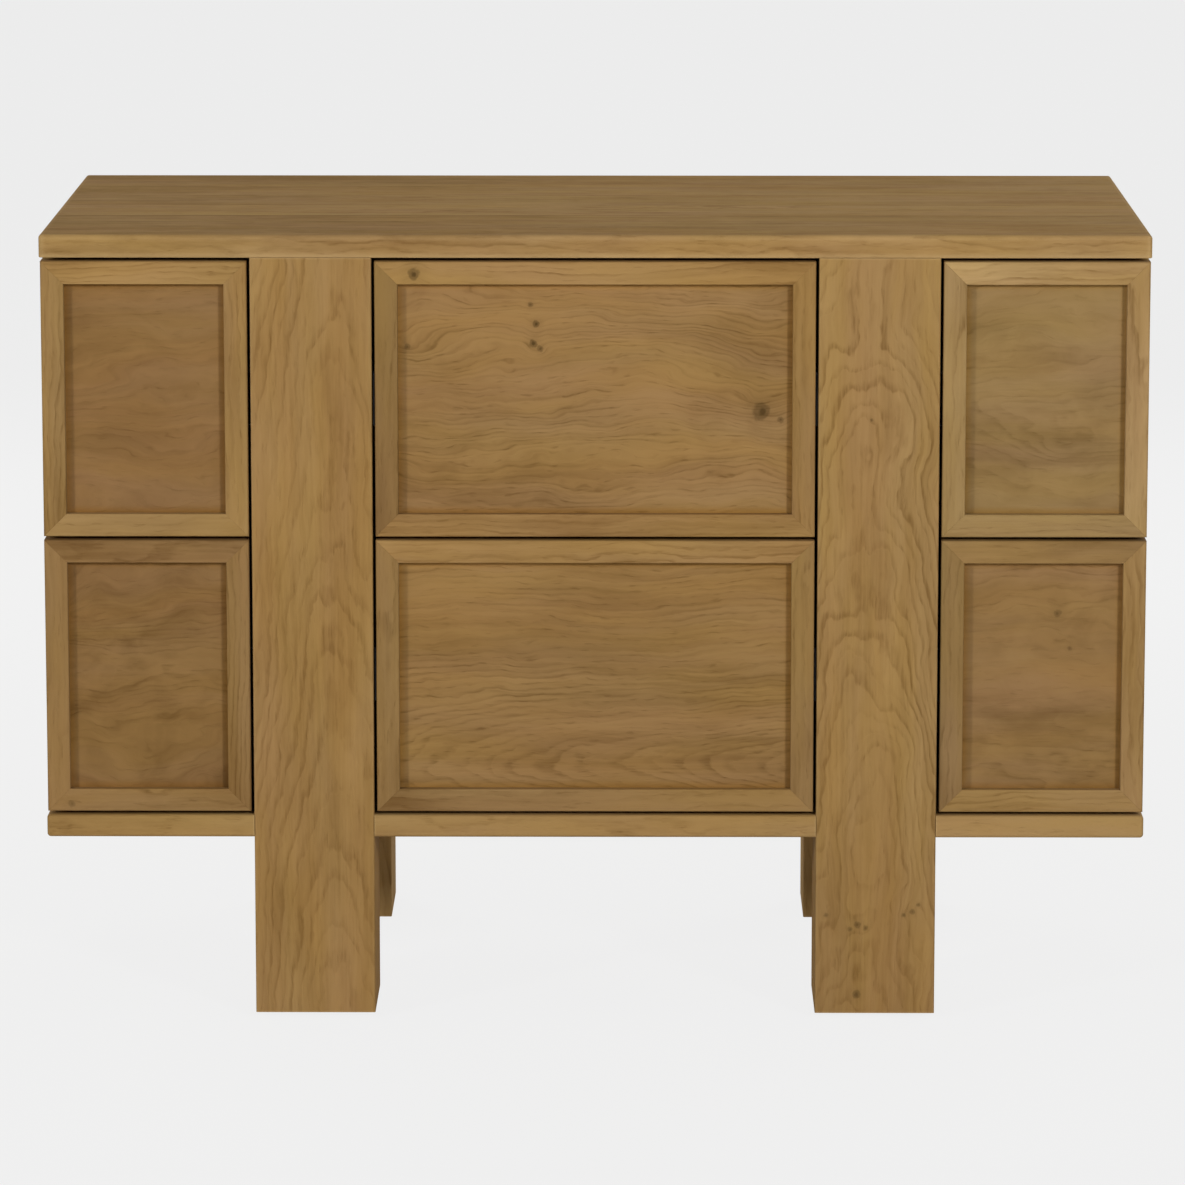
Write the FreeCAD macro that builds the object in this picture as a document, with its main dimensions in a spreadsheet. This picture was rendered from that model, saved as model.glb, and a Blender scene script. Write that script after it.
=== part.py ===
import FreeCAD, Part
import math
import os
import Sketcher

# Oak nightstand with six push-to-open drawers between four full-height box posts.
# Millimetres. The origin is on the floor under the middle, +Z is up and the fronts face -Y.

doc = FreeCAD.newDocument("nightstand")

# Driving dimensions: alias and value, one cell of the sheet each.
DIMENSIONS = (
    # whole piece
    ("overall_width", 914),
    ("overall_depth", 457),
    ("overall_height", 660),
    ("leg_height", 155),
    # top and bottom slabs
    ("top_thick", 19),
    ("bottom_thick", 19),
    ("edge_round", 3),
    ("under_round", 1),
    # box posts, their end blocks and the glides under them
    ("post_inset", 173),
    ("post_width", 100),
    ("post_depth", 100),
    ("post_wall", 19),
    ("post_round", 1.5),
    ("block_height", 40),
    ("glide_height", 5),
    ("glide_radius", 16),
    ("glide_bevel", 2),
    ("pin_radius", 2),
    ("pin_length", 16),
    # side panels, bay walls and grooved back panels
    ("side_thick", 19),
    ("side_reveal", 1),
    ("wall_thick", 15),
    ("back_thick", 9),
    ("back_inset", 8),
    ("groove_depth", 6),
    ("groove_slack", 0.5),
    ("dowel_radius", 4),
    ("dowel_length", 30),
    ("dowel_sink", 12),
    ("dowel_setback", 40),
    # drawer fronts: mitred frame and recessed panel
    ("side_gap", 2.5),
    ("level_gap", 3),
    ("front_thick", 20),
    ("front_standoff", 4),
    ("frame_width", 19),
    ("panel_recess", 8),
    ("panel_rebate", 7),
    ("rebate_slack", 0.5),
    # drawer boxes
    ("box_lift", 22),
    ("box_headroom", 27),
    ("box_wall", 12),
    ("base_thick", 6),
    ("base_lift", 10),
    ("base_tongue", 5),
    ("base_slack", 0.5),
    # three-member runners and their screws
    ("runner_height", 45),
    ("runner_space", 12.7),
    ("runner_gauge", 1.2),
    ("runner_play", 0.3),
    ("flange_reach", 10),
    ("head_room", 3),
    ("screw_radius", 1.75),
    ("screw_length", 13),
    ("screw_play", 0.1),
    ("head_radius", 3.6),
    ("crown_radius", 2.2),
    ("head_thick", 2.2),
    ("front_screw", 30),
    ("rear_screw", 230),
    # push-to-open latches
    ("latch_space", 70),
    ("latch_width", 24),
    ("latch_height", 18),
    ("plunger_radius", 4),
    ("plunger_play", 0.3),
    ("plunger_reach", 16),
    ("plunger_seat", 36),
    ("pad_radius", 7),
    ("pad_thick", 4),
    ("pad_bevel", 1),
    ("push_travel", 3),
    ("push_play", 0.3),
)

sheet = doc.addObject("Spreadsheet::Sheet", "dims")
for row, (alias, value) in enumerate(DIMENSIONS, start=1):
    sheet.set(f"A{row}", str(value))
    sheet.setAlias(f"A{row}", alias)
doc.recompute()

# Shared planes of the piece, as expressions of the sheet.
left_end = "(-dims.overall_width / 2)"
front_face = "(-dims.overall_depth / 2)"
back_face = "(dims.overall_depth / 2)"
case_floor = "(dims.leg_height + dims.bottom_thick)"
case_ceiling = "(dims.overall_height - dims.top_thick)"
opening_height = f"({case_ceiling} - {case_floor})"
post_height = f"({case_ceiling} - dims.glide_height)"
panel_out = "(dims.overall_width / 2 - dims.side_reveal)"
panel_in = f"({panel_out} - dims.side_thick)"
post_out = "(dims.overall_width / 2 - dims.post_inset)"
post_in = f"({post_out} - dims.post_width)"
front_back = f"({front_face} + dims.front_thick)"
case_start = f"({front_back} + dims.front_standoff)"
wall_start = f"({front_face} + dims.post_depth)"
wall_end = f"({back_face} - dims.post_depth)"
groove_back = f"({back_face} - dims.back_inset)"
groove_front = f"({groove_back} - dims.back_thick)"
box_end = f"({groove_front} - dims.latch_space)"
front_height = f"(({opening_height} - 3 * dims.level_gap) / 2)"
tongue = "(dims.groove_depth - dims.groove_slack)"

# Each bay: the two faces that carry its runners, and the two edges of its drawer fronts.
BAYS = {
    "left": (f"(-{panel_in})", f"(-{post_out})", f"(-{panel_out})", f"(-{post_out} - dims.side_gap)"),
    "centre": (f"(-{post_in})", post_in, f"(-{post_in} + dims.side_gap)", f"({post_in} - dims.side_gap)"),
    "right": (post_out, panel_in, f"({post_out} + dims.side_gap)", panel_out),
}

# Each level: the lower edge of its drawer fronts.
lower_edge = f"({case_floor} + dims.level_gap)"
LEVELS = {
    "lower": lower_edge,
    "upper": f"({lower_edge} + {front_height} + dims.level_gap)",
}

subparts = {}


def keep(node, piece):
    """Label a finished piece with the name of its node."""
    piece.Label = node
    subparts[node] = piece


def place(piece, across, deep, up):
    """Put a piece's own origin at a point given by three expressions."""
    for axis, expression in zip("xyz", (across, deep, up)):
        piece.setExpression(f"Placement.Base.{axis}", expression)


def board(name, low, high):
    """Plain board between its lowest and highest corners."""
    piece = doc.addObject("Part::Box", name)
    for size, start, end in zip(("Length", "Width", "Height"), low, high):
        piece.setExpression(size, f"{end} - {start}")
    place(piece, *low)
    return piece


def rod(name, start, direction, radius, length):
    """Round bar from a start point along a direction."""
    piece = doc.addObject("Part::Cylinder", name)
    turn = FreeCAD.Rotation(FreeCAD.Vector(0, 0, 1), FreeCAD.Vector(*direction))
    piece.Placement = FreeCAD.Placement(FreeCAD.Vector(), turn)
    piece.setExpression("Radius", radius)
    piece.setExpression("Height", length)
    place(piece, *start)
    return piece


def cut(name, base, tool):
    piece = doc.addObject("Part::Cut", name)
    piece.Base = base
    piece.Tool = tool
    return piece


def group(name, members):
    piece = doc.addObject("Part::Compound", name)
    piece.Links = members
    return piece


def new_body(name, across, deep, up):
    body = doc.addObject("PartDesign::Body", name)
    body.AllowCompound = True
    place(body, across, deep, up)
    return body


def new_sketch(body, role, lift="0"):
    """Sketch on one of the body's own origin planes, raised along its normal."""
    sketch = body.newObject("Sketcher::SketchObject", "Sketch")
    planes = [plane for plane in body.Origin.OriginFeatures if plane.Role == role]
    sketch.AttachmentSupport = [(planes[0], "")]
    sketch.MapMode = "FlatFace"
    sketch.setExpression("AttachmentOffset.Base.z", lift)
    return sketch


def outline(sketch, corners):
    """Closed outline of straight sides; each corner is an (x, y) pair of expressions."""
    first = sketch.GeometryCount
    count = len(corners)
    spots = []
    for index in range(count):
        angle = 2 * math.pi * index / count
        spots.append(FreeCAD.Vector(math.cos(angle), math.sin(angle), 0))
    for index in range(count):
        sketch.addGeometry(Part.LineSegment(spots[index], spots[(index + 1) % count]), False)
    for index in range(count):
        follower = first + (index + 1) % count
        sketch.addConstraint(Sketcher.Constraint("Coincident", first + index, 2, follower, 1))
    for index, corner in enumerate(corners):
        for kind, expression in zip(("DistanceX", "DistanceY"), corner):
            pin = sketch.addConstraint(Sketcher.Constraint(kind, -1, 1, first + index, 1, 1.0))
            sketch.setExpression(f"Constraints[{pin}]", expression)


def rectangle(sketch, low_x, low_y, high_x, high_y):
    outline(sketch, [(low_x, low_y), (high_x, low_y), (high_x, high_y), (low_x, high_y)])


def pad(body, sketch, length, backwards=False):
    feature = body.newObject("PartDesign::Pad", "Pad")
    feature.Profile = sketch
    feature.setExpression("Length", length)
    feature.Reversed = backwards
    doc.recompute()
    return feature


def pocket(body, sketch, depth, backwards):
    """Pocket that must take material away from the body."""
    before = body.Shape.Volume
    feature = body.newObject("PartDesign::Pocket", "Pocket")
    feature.Profile = sketch
    feature.setExpression("Length", depth)
    feature.Reversed = backwards
    doc.recompute()
    if body.Shape.Volume >= before:
        raise RuntimeError(f"a pocket of {body.Label} cuts nothing")
    return feature


def round_edges(body, feature, radius, chosen):
    """Fillet on the edges of a feature whose middle passes a test."""
    box = feature.Shape.BoundBox
    names = []
    for number, edge in enumerate(feature.Shape.Edges, start=1):
        if chosen(edge, box):
            names.append(f"Edge{number}")
    fillet = body.newObject("PartDesign::Fillet", "Fillet")
    fillet.Base = (feature, names)
    fillet.setExpression("Radius", radius)
    doc.recompute()
    return fillet


def on_underside(edge, box):
    """Whether an edge lies wholly in the lower face of a box."""
    return edge.BoundBox.ZMax - box.ZMin < 1e-3


def outer_sides(edge, box):
    """How many of the four outer side planes of a box an edge lies on."""
    middle = edge.CenterOfMass
    near = 1e-6
    planes = (middle.x - box.XMin, box.XMax - middle.x, middle.y - box.YMin, box.YMax - middle.y)
    return sum(1 for distance in planes if distance < near)


def is_upright(edge):
    return edge.BoundBox.ZLength > max(edge.BoundBox.XLength, edge.BoundBox.YLength)


def outer_rim(edge, box):
    """Outer perimeter of a slab: its level edges and its four outer corners."""
    return outer_sides(edge, box) == 2 or (outer_sides(edge, box) == 1 and not is_upright(edge))


# Dowels: into both slabs from the side panels and bay walls, and into the top slab from the posts.
def dowel_places():
    """Centre lines (x, y) of the dowels of the panels and walls, then of the posts."""
    uprights = []
    panel_middle = f"({panel_out} - dims.side_thick / 2)"
    panel_rows = (
        f"({case_start} + dims.dowel_setback)",
        f"(({case_start} + {back_face}) / 2)",
        f"({back_face} - dims.dowel_setback)",
    )
    wall_rows = (f"({wall_start} + dims.dowel_setback)", f"({wall_end} - dims.dowel_setback)")
    wall_middles = (f"({post_out} - dims.wall_thick / 2)", f"({post_in} + dims.wall_thick / 2)")
    posts = []
    post_middle = f"({post_out} - dims.post_width / 2)"
    post_rows = (f"({front_face} + dims.post_depth / 2)", f"({back_face} - dims.post_depth / 2)")
    for side in ("-", ""):
        uprights += [(f"{side}{panel_middle}", line) for line in panel_rows]
        for middle in wall_middles:
            uprights += [(f"{side}{middle}", line) for line in wall_rows]
        posts += [(f"{side}{post_middle}", line) for line in post_rows]
    return uprights, posts


upright_dowels, post_dowels = dowel_places()
dowel_top = f"({case_ceiling} + dims.dowel_sink - dims.dowel_length)"
dowel_foot = f"({case_floor} - dims.dowel_sink)"
dowel_starts = [(across, deep, dowel_top) for across, deep in upright_dowels + post_dowels]
dowel_starts += [(across, deep, dowel_foot) for across, deep in upright_dowels]
dowels = []
for start in dowel_starts:
    dowels.append(rod("dowel", start, (0, 0, 1), "dims.dowel_radius", "dims.dowel_length"))
case_dowels = group("case_dowels", dowels)
keep("case_dowels", case_dowels)


# Runner screws and the pilot holes that they turn into: two to each case runner.
def runner_centre(level):
    """Height of the middle of a drawer box, where its runners sit."""
    return f"({LEVELS[level]} + (dims.box_lift + {front_height} - dims.box_headroom) / 2)"


screws = []
pilots = []
for low_face, high_face, front_low, front_high in BAYS.values():
    for face, sign in ((low_face, 1), (high_face, -1)):
        seat = f"({face} + {sign} * dims.runner_gauge)"
        mouth = f"({seat} + {sign} * dims.head_thick)"
        into_wall = (-sign, 0, 0)
        for level in LEVELS:
            for setback in ("dims.front_screw", "dims.rear_screw"):
                deep = f"({case_start} + {setback})"
                up = runner_centre(level)
                reach = "(dims.runner_gauge + dims.screw_length)"
                shank = rod("shank", (seat, deep, up), into_wall, "dims.screw_radius", reach)
                head = doc.addObject("Part::Cone", "head")
                turn = FreeCAD.Rotation(FreeCAD.Vector(0, 0, 1), FreeCAD.Vector(sign, 0, 0))
                head.Placement = FreeCAD.Placement(FreeCAD.Vector(), turn)
                head.setExpression("Radius1", "dims.head_radius")
                head.setExpression("Radius2", "dims.crown_radius")
                head.setExpression("Height", "dims.head_thick")
                place(head, seat, deep, up)
                screw = doc.addObject("Part::Fuse", "screw")
                screw.Base = shank
                screw.Tool = head
                screws.append(screw)
                bore = "(dims.screw_radius + dims.screw_play)"
                run = f"(dims.head_thick + {reach} + dims.screw_play)"
                pilots.append(rod("pilot", (mouth, deep, up), into_wall, bore, run))
keep("runner_screws", group("runner_screws", screws))
pilot_holes = group("pilot_holes", pilots)
joinery = group("joinery", [case_dowels, pilot_holes])


# Grooves of a slab for the three back panels, from its corner at the left front.
def back_grooves(sketch):
    for low_face, high_face, front_low, front_high in BAYS.values():
        rectangle(
            sketch,
            f"{low_face} - dims.groove_depth - {left_end}",
            f"{groove_front} - {front_face}",
            f"{high_face} + dims.groove_depth - {left_end}",
            f"{groove_back} - {front_face}",
        )


# Top slab: edge-glued board with rounded edges, only just eased underneath so that it meets the posts in a
# close joint, and grooved there for the back panels.
top_board = new_body("top_board", left_end, front_face, case_ceiling)
plan = new_sketch(top_board, "XY_Plane")
rectangle(plan, "0", "0", "dims.overall_width", "dims.overall_depth")
slab = pad(top_board, plan, "dims.top_thick")
eased = round_edges(top_board, slab, "dims.edge_round", lambda edge, box: not on_underside(edge, box))
round_edges(top_board, eased, "dims.under_round", on_underside)
grooves = new_sketch(top_board, "XY_Plane")
back_grooves(grooves)
pocket(top_board, grooves, "dims.groove_depth", True)
keep("top_slab", cut("top_slab", top_board, case_dowels))


# Bottom slab: the same board, notched at front and back for the posts.
def notched_edge(edge_y, notch_y, forwards):
    """Corners of one long edge of the slab with its two notches, left to right or back again."""
    near_post = ("dims.post_inset", "(dims.post_inset + dims.post_width)")
    far_post = [f"(dims.overall_width - {spot})" for spot in reversed(near_post)]
    corners = [("0", edge_y)]
    for start, end in (near_post, far_post):
        corners += [(start, edge_y), (start, notch_y), (end, notch_y), (end, edge_y)]
    corners.append(("dims.overall_width", edge_y))
    return corners if forwards else corners[::-1]


bottom_board = new_body("bottom_board", left_end, front_face, "dims.leg_height")
plan = new_sketch(bottom_board, "XY_Plane")
rear_notch = "(dims.overall_depth - dims.post_depth)"
front_edge = notched_edge("0", "dims.post_depth", True)
rear_edge = notched_edge("dims.overall_depth", rear_notch, False)
outline(plan, front_edge + rear_edge)
slab = pad(bottom_board, plan, "dims.bottom_thick")
round_edges(bottom_board, slab, "dims.edge_round", outer_rim)
grooves = new_sketch(bottom_board, "XY_Plane", "dims.bottom_thick")
back_grooves(grooves)
pocket(bottom_board, grooves, "dims.groove_depth", False)
keep("bottom_slab", cut("bottom_slab", bottom_board, case_dowels))


# Box posts: hollow, with eased corners; the rear pair is grooved for the back panels.
def box_post(name, across, deep, grooved):
    body = new_body(name, across, deep, "dims.glide_height")
    plan = new_sketch(body, "XY_Plane")
    rectangle(plan, "0", "0", "dims.post_width", "dims.post_depth")
    inner_x = "dims.post_width - dims.post_wall"
    inner_y = "dims.post_depth - dims.post_wall"
    rectangle(plan, "dims.post_wall", "dims.post_wall", inner_x, inner_y)
    tube = pad(body, plan, post_height)
    round_edges(body, tube, "dims.post_round", lambda edge, box: outer_sides(edge, box) == 2)
    if grooved:
        start = f"{case_floor} - dims.groove_depth - dims.glide_height"
        grooves = new_sketch(body, "XY_Plane", start)
        rear = "dims.post_depth - dims.back_inset"
        front = f"{rear} - dims.back_thick"
        rectangle(grooves, "0", front, "dims.groove_depth", rear)
        rectangle(grooves, "dims.post_width - dims.groove_depth", front, "dims.post_width", rear)
        pocket(body, grooves, f"{opening_height} + dims.groove_depth", True)
    return body


glides = []
blocks = []
for side, post_left in (("left", f"(-{post_out})"), ("right", post_in)):
    middle_x = f"({post_left} + dims.post_width / 2)"
    for end, post_front in (("front", front_face), ("rear", wall_end)):
        middle_y = f"({post_front} + dims.post_depth / 2)"
        tube = box_post(f"{end}_{side}_tube", post_left, post_front, end == "rear")
        keep(f"{end}_{side}_post", cut(f"{end}_{side}_post", tube, pilot_holes))

        # Foot glide: a bevelled disc with a pin driven up into the foot block.
        glide = new_body("glide", middle_x, middle_y, "0")
        half = new_sketch(glide, "XZ_Plane")
        outline(half, [
            ("0", "0"),
            ("dims.glide_radius - dims.glide_bevel", "0"),
            ("dims.glide_radius", "dims.glide_bevel"),
            ("dims.glide_radius", "dims.glide_height"),
            ("dims.pin_radius", "dims.glide_height"),
            ("dims.pin_radius", "dims.glide_height + dims.pin_length"),
            ("0", "dims.glide_height + dims.pin_length"),
        ])
        turned = glide.newObject("PartDesign::Revolution", "Revolution")
        turned.Profile = half
        turned.ReferenceAxis = (half, ["V_Axis"])
        turned.Angle = 360
        glides.append(glide)

        # End blocks that close the post and take the glide pin and the dowel of the top.
        low_x = f"({post_left} + dims.post_wall)"
        low_y = f"({post_front} + dims.post_wall)"
        high_x = f"({post_left} + dims.post_width - dims.post_wall)"
        high_y = f"({post_front} + dims.post_depth - dims.post_wall)"
        foot_top = "(dims.glide_height + dims.block_height)"
        foot = board("foot", (low_x, low_y, "dims.glide_height"), (high_x, high_y, foot_top))
        blocks.append(cut("foot_block", foot, glide))
        head_low = f"({case_ceiling} - dims.block_height)"
        head = board("head", (low_x, low_y, head_low), (high_x, high_y, case_ceiling))
        blocks.append(cut("head_block", head, case_dowels))
keep("foot_glides", group("foot_glides", glides))
keep("post_end_blocks", group("post_end_blocks", blocks))

# Side panels: full-depth ends of the case behind the outer fronts, grooved inside for the back panel.
panel_depth = f"({back_face} - {case_start})"
groove_low = f"({groove_front} - {case_start})"
groove_high = f"({groove_back} - {case_start})"
for side, sign in (("left", 1), ("right", -1)):
    body = new_body(f"{side}_side_board", f"{-sign} * {panel_out}", case_start, case_floor)
    plan = new_sketch(body, "XY_Plane")
    inner = f"{sign} * dims.side_thick"
    deep_end = f"{sign} * (dims.side_thick - dims.groove_depth)"
    outline(plan, [
        ("0", "0"),
        (inner, "0"),
        (inner, groove_low),
        (deep_end, groove_low),
        (deep_end, groove_high),
        (inner, groove_high),
        (inner, panel_depth),
        ("0", panel_depth),
    ])
    pad(body, plan, opening_height)
    keep(f"{side}_side_panel", cut(f"{side}_side_panel", body, joinery))

# Bay walls: boards between the front and rear posts, flush with the faces that carry the runners.
wall_faces = {
    "left_bay_wall": (f"(-{post_out})", f"(-{post_out} + dims.wall_thick)"),
    "centre_bay_left_wall": (f"(-{post_in} - dims.wall_thick)", f"(-{post_in})"),
    "centre_bay_right_wall": (post_in, f"({post_in} + dims.wall_thick)"),
    "right_bay_wall": (f"({post_out} - dims.wall_thick)", post_out),
}
for node, (low_x, high_x) in wall_faces.items():
    plain = board(f"{node}_board", (low_x, wall_start, case_floor), (high_x, wall_end, case_ceiling))
    keep(node, cut(node, plain, joinery))

# Back panels: thin boards held on all four edges in the grooves.
for bay, (low_face, high_face, front_low, front_high) in BAYS.items():
    low = (f"({low_face} - {tongue})", groove_front, f"({case_floor} - {tongue})")
    high = (f"({high_face} + {tongue})", groove_back, f"({case_ceiling} + {tongue})")
    keep(f"{bay}_back_panel", board(f"{bay}_back_panel", low, high))


# Runners: three channels nested in each other, drawn across the piece and run from front to back.
def channel(sketch, web_out, web_in, tip, half, centre):
    """C section with its web between two planes and flanges out to a tip."""
    foot = f"{centre} - {half}"
    crown = f"{centre} + {half}"
    outline(sketch, [
        (web_out, foot),
        (tip, foot),
        (tip, f"{foot} + dims.runner_gauge"),
        (web_in, f"{foot} + dims.runner_gauge"),
        (web_in, f"{crown} - dims.runner_gauge"),
        (tip, f"{crown} - dims.runner_gauge"),
        (tip, crown),
        (web_out, crown),
    ])


case_half = "(dims.runner_height / 2)"
nest_step = "(dims.runner_gauge + dims.runner_play)"
middle_half = f"({case_half} - {nest_step})"
drawer_half = f"({middle_half} - {nest_step})"
middle_web = "(dims.runner_gauge + dims.head_room)"
drawer_web = "(dims.runner_space - dims.runner_gauge)"
runner_run = f"{box_end} - {case_start}"

# Planes of each member from the face that carries it: web outside, web inside and flange tip.
RUNNER_PLANES = {
    "case": ("0", "dims.runner_gauge", "dims.flange_reach", case_half),
    "middle": (middle_web, f"{middle_web} + dims.runner_gauge", drawer_web, middle_half),
    "drawer": ("dims.runner_space", drawer_web, f"{middle_web} + {nest_step}", drawer_half),
}


def runners(name, member, bay, levels):
    """Pair of like channels in a bay at each of the given levels."""
    low_face, high_face, front_low, front_high = BAYS[bay]
    web_out, web_in, tip, half = RUNNER_PLANES[member]
    body = new_body(name, "0", case_start, "0")
    section = new_sketch(body, "XZ_Plane")
    for level in levels:
        for face, sign in ((low_face, "+"), (high_face, "-")):
            planes = [f"{face} {sign} ({plane})" for plane in (web_out, web_in, tip)]
            channel(section, *planes, half, runner_centre(level))
    pad(body, section, runner_run, True)
    return body


for bay in BAYS:
    plain = runners(f"{bay}_case_channels", "case", bay, LEVELS)
    keep(f"{bay}_case_runners", cut(f"{bay}_case_runners", plain, pilot_holes))

# Planes of the latches, from the drawer back to the back panel.
plunger_tip = f"({box_end} + dims.push_travel + dims.push_play)"
latch_face = f"({plunger_tip} + dims.plunger_reach)"
housings = []


# Drawer front: four members mitred at the corners, rebated at the back for the panel.
def front_frame(name, low_x, high_x, low_z, high_z):
    """Mitred members as wedges whose long side is the outer edge of the frame."""
    across = FreeCAD.Vector(1, 0, 0)
    deep = FreeCAD.Vector(0, 1, 0)
    up = FreeCAD.Vector(0, 0, 1)
    width = f"({high_x} - {low_x})"
    height = f"({high_z} - {low_z})"
    members = (
        ("foot_rail", width, across, up, (low_x, front_back, low_z)),
        ("head_rail", width, across, -up, (low_x, front_face, high_z)),
        ("left_stile", height, up, across, (low_x, front_face, low_z)),
        ("right_stile", height, up, -across, (high_x, front_back, low_z)),
    )
    inset = "(dims.frame_width - dims.panel_rebate - dims.rebate_slack)"
    rebate_low = (f"({low_x} + {inset})", f"({front_face} + dims.panel_recess)", f"({low_z} + {inset})")
    rebate_high = (f"({high_x} - {inset})", front_back, f"({high_z} - {inset})")
    rebate = board(f"{name}_rebate", rebate_low, rebate_high)
    pieces = []
    for member, length, along, inward, corner in members:
        bar = doc.addObject("Part::Wedge", member)
        turn = FreeCAD.Rotation(along, inward, along.cross(inward), "XYZ")
        bar.Placement = FreeCAD.Placement(FreeCAD.Vector(), turn)
        limits = {
            "Xmin": "0", "Xmax": length,
            "X2min": "dims.frame_width", "X2max": f"{length} - dims.frame_width",
            "Ymin": "0", "Ymax": "dims.frame_width",
            "Zmin": "0", "Zmax": "dims.front_thick",
            "Z2min": "0", "Z2max": "dims.front_thick",
        }
        for limit, expression in limits.items():
            bar.setExpression(limit, expression)
        place(bar, *corner)
        pieces.append(cut(f"{member}_rebated", bar, rebate))
    return group(name, pieces)


# Drawer box: two sides, a front and a back between them, and a base let into all four.
def drawer_box(name, low_x, high_x, low_z, high_z):
    inner_low = f"({low_x} + dims.box_wall)"
    inner_high = f"({high_x} - dims.box_wall)"
    inner_front = f"({front_back} + dims.box_wall)"
    inner_back = f"({box_end} - dims.box_wall)"
    base_low = f"({low_z} + dims.base_lift)"
    base_high = f"({base_low} + dims.base_thick)"

    def base_board(label, margin):
        low = (f"({inner_low} - {margin})", f"({inner_front} - {margin})", base_low)
        high = (f"({inner_high} + {margin})", f"({inner_back} + {margin})", base_high)
        return board(label, low, high)

    groove = base_board("base_groove", "(dims.base_tongue + dims.base_slack)")
    walls = (
        ("left_wall", (low_x, front_back), (inner_low, box_end)),
        ("right_wall", (inner_high, front_back), (high_x, box_end)),
        ("front_wall", (inner_low, front_back), (inner_high, inner_front)),
        ("back_wall", (inner_low, inner_back), (inner_high, box_end)),
    )
    pieces = [base_board("base", "dims.base_tongue")]
    for label, low, high in walls:
        plain = board(label, (*low, low_z), (*high, high_z))
        pieces.append(cut(f"{label}_grooved", plain, groove))
    return group(name, pieces)


for bay, (low_face, high_face, front_low, front_high) in BAYS.items():
    middle_x = f"(({low_face} + {high_face}) / 2)"
    for level, low_z in LEVELS.items():
        drawer = f"{bay}_{level}"
        high_z = f"({low_z} + {front_height})"
        centre = runner_centre(level)
        frame = front_frame(f"{drawer}_front_frame", front_low, front_high, low_z, high_z)
        keep(f"{drawer}_front_frame", frame)

        # Flat panel that lies in the rebates with its back flush with the frame.
        inset = "(dims.frame_width - dims.panel_rebate)"
        panel_front = f"({front_face} + dims.panel_recess)"
        panel_low = (f"({front_low} + {inset})", panel_front, f"({low_z} + {inset})")
        panel_high = (f"({front_high} - {inset})", front_back, f"({high_z} - {inset})")
        keep(f"{drawer}_front_panel", board(f"{drawer}_front_panel", panel_low, panel_high))

        box_low = f"({low_face} + dims.runner_space)"
        box_high = f"({high_face} - dims.runner_space)"
        box_foot = f"({low_z} + dims.box_lift)"
        box_rim = f"({high_z} - dims.box_headroom)"
        box = drawer_box(f"{drawer}_drawer_box", box_low, box_high, box_foot, box_rim)
        keep(f"{drawer}_drawer_box", box)

        for member in ("middle", "drawer"):
            node = f"{drawer}_{member}_runners"
            keep(node, runners(node, member, bay, [level]))

        # Latch housing on the back panel, bored for the plunger.
        half_wide = "dims.latch_width / 2"
        half_high = "dims.latch_height / 2"
        low = (f"({middle_x} - {half_wide})", latch_face, f"({centre} - {half_high})")
        high = (f"({middle_x} + {half_wide})", groove_front, f"({centre} + {half_high})")
        shell = board("latch_shell", low, high)
        bore = "(dims.plunger_radius + dims.plunger_play)"
        bore_depth = "(dims.plunger_seat + dims.push_travel + dims.push_play)"
        hole = rod("latch_bore", (middle_x, latch_face, centre), (0, 1, 0), bore, bore_depth)
        housings.append(cut("latch_housing", shell, hole))

        # Plunger: a stem in the bore with a bevelled pad that meets the back of the drawer.
        plunger = new_body(f"{drawer}_latch_plunger", middle_x, plunger_tip, centre)
        half = new_sketch(plunger, "XY_Plane")
        stem_end = "dims.plunger_reach + dims.plunger_seat"
        outline(half, [
            ("0", "0"),
            ("dims.pad_radius - dims.pad_bevel", "0"),
            ("dims.pad_radius", "dims.pad_bevel"),
            ("dims.pad_radius", "dims.pad_thick"),
            ("dims.plunger_radius", "dims.pad_thick"),
            ("dims.plunger_radius", stem_end),
            ("0", stem_end),
        ])
        turned = plunger.newObject("PartDesign::Revolution", "Revolution")
        turned.Profile = half
        turned.ReferenceAxis = (half, ["V_Axis"])
        turned.Angle = 360
        keep(f"{drawer}_latch_plunger", plunger)
keep("latch_housings", group("latch_housings", housings))

doc.recompute()

# Nothing is written unless every object came out whole.
faults = []
for item in doc.Objects:
    if "Invalid" in item.State or "Error" in item.State:
        faults.append(f"{item.Label} failed")
for node, piece in subparts.items():
    if piece.Shape.isNull() or not piece.Shape.isValid() or not piece.Shape.Solids:
        faults.append(f"{node} has no sound shape")
if faults:
    raise RuntimeError("; ".join(faults))

os.makedirs("parts", exist_ok=True)
for node, piece in subparts.items():
    piece.Shape.exportStep(f"parts/{node}.step")
print(f"{len(subparts)} nodes, {sum(len(piece.Shape.Solids) for piece in subparts.values())} solids")
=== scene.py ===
import math
import random

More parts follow.
